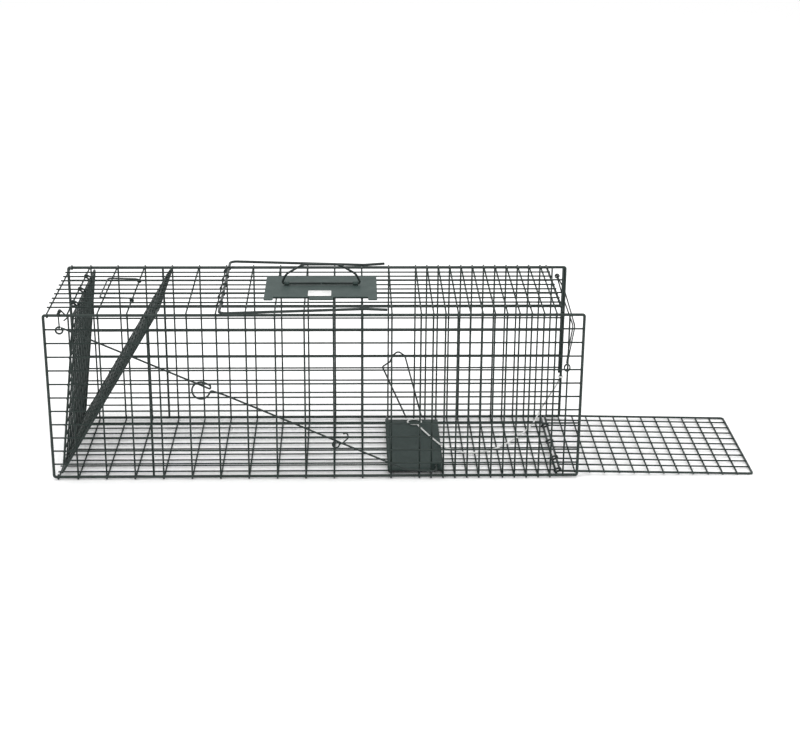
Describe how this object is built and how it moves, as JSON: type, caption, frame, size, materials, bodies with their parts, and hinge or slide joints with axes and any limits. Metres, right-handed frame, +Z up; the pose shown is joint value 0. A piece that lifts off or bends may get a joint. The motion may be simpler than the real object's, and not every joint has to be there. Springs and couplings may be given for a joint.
{
  "type": "live catch trap",
  "caption": "Wire cage live catch trap with a sloped gravity door, lock gate, treadle trigger, carrying handle and drop-down rear door.",
  "frame": {"origin": "on the ground below the middle of the cage box, the rear door not counted", "axes": "+X from the sloped front door to the rear door, +Y from the trigger rod side to the plain side, +Z up"},
  "size_m": [1.2462, 0.3093, 0.3555],
  "materials": {
    "wire": "dark green powder coat over welded steel wire",
    "door_wire": "dark green powder coat over welded steel wire",
    "rod_wire": "dark green powder coat over bent steel wire",
    "handle_plate": "satin grey-green powder coat on sheet steel",
    "treadle": "satin dark powder coat on sheet steel",
    "label": "plain blank paper-faced film",
    "cord": "soft light grey braided string"
  },
  "bodies": {
    "cage": {"near_side_frame": "wire", "near_side_mesh": "wire", "far_side_frame": "wire", "far_side_mesh": "wire", "roof_mesh": "wire", "floor_mesh": "wire", "roof_rear_rod": "wire", "floor_rear_rod": "wire", "front_door_rings": "wire", "lock_gate_rings": "wire", "top_bail_rings": "wire", "rear_door_rings": "wire", "pedal_axle": "wire", "catch_eyelets": "wire", "latch_pin": "wire", "bait_hook": "wire", "bait_arm": "wire", "handle_plate": "handle_plate", "handle_lugs": "rod_wire", "handle_label": "label", "cord": "cord", "cord_knot": "cord"},
    "front_door": {"front_door_frame": "door_wire", "front_door_mesh": "door_wire"},
    "lock_gate": {"lock_gate_frame": "door_wire", "lock_gate_mesh": "door_wire"},
    "rear_door": {"rear_door_frame": "door_wire", "rear_door_mesh": "door_wire"},
    "top_bail": {"top_bail": "rod_wire"},
    "front_bail": {"front_bail": "rod_wire"},
    "handle_bail": {"handle_bail": "rod_wire"},
    "pedal": {"pedal_plate": "treadle", "cord_tail": "cord", "cord_tail_loop": "cord"},
    "catch": {"catch": "rod_wire"},
    "trigger_rod": {"trigger_rod": "rod_wire", "trigger_rod_eye": "rod_wire", "trigger_finger_loop": "rod_wire", "trigger_small_loop": "rod_wire"},
    "rear_latch": {"rear_latch": "rod_wire", "latch_ring": "rod_wire"}
  },
  "joints": [
    {"name": "front_door_swing", "type": "hinge", "parent": "cage", "child": "front_door", "pos_m": [-0.2725, 0, 0.3039], "axis": [0, 1, 0], "range_deg": [0, 55.8]},
    {"name": "lock_gate_swing", "type": "hinge", "parent": "cage", "child": "lock_gate", "pos_m": [-0.4125, 0, 0.3039], "axis": [0, 1, 0], "range_deg": [0, 80]},
    {"name": "rear_door_swing", "type": "hinge", "parent": "cage", "child": "rear_door", "pos_m": [0.4333, 0, 0.0094], "axis": [0, -1, 0], "range_deg": [0, 91.12]},
    {"name": "top_bail_swing", "type": "hinge", "parent": "cage", "child": "top_bail", "pos_m": [-0.1625, 0, 0.31584], "axis": [0, -1, 0], "range_deg": [0, 179]},
    {"name": "front_bail_swing", "type": "hinge", "parent": "cage", "child": "front_bail", "pos_m": [-0.3201, -0.01305, 0.30951], "axis": [0, 1, 0], "range_deg": [0, 168]},
    {"name": "handle_swing", "type": "hinge", "parent": "cage", "child": "handle_bail", "pos_m": [0.0085, 0, 0.31854], "axis": [1, 0, 0], "range_deg": [-80, 80]},
    {"name": "pedal_tilt", "type": "hinge", "parent": "cage", "child": "pedal", "pos_m": [0.1295, -0.0063, 0.0085], "axis": [0, -1, 0], "range_deg": [0, 6]},
    {"name": "catch_swing", "type": "hinge", "parent": "cage", "child": "catch", "pos_m": [-0.4355, -0.1383, 0.3103], "axis": [0, 1, 0], "range_deg": [0, 9.6]},
    {"name": "trigger_rod_swing", "type": "hinge", "parent": "catch", "child": "trigger_rod", "pos_m": [-0.435, -0.1473, 0.282], "axis": [0, 1, 0], "range_deg": [-10.4, 0]},
    {"name": "rear_latch_swing", "type": "hinge", "parent": "cage", "child": "rear_latch", "pos_m": [0.4485, 0.1451, 0.286], "axis": [0, -1, 0], "range_deg": [-15, 75]}
  ],
  "couplings": [
    {"joint": "lock_gate_swing", "follows": "front_door_swing", "ratio": 1.4283},
    {"joint": "catch_swing", "follows": "pedal_tilt", "ratio": 1.5825},
    {"joint": "trigger_rod_swing", "follows": "pedal_tilt", "ratio": -1.7046}
  ]
}
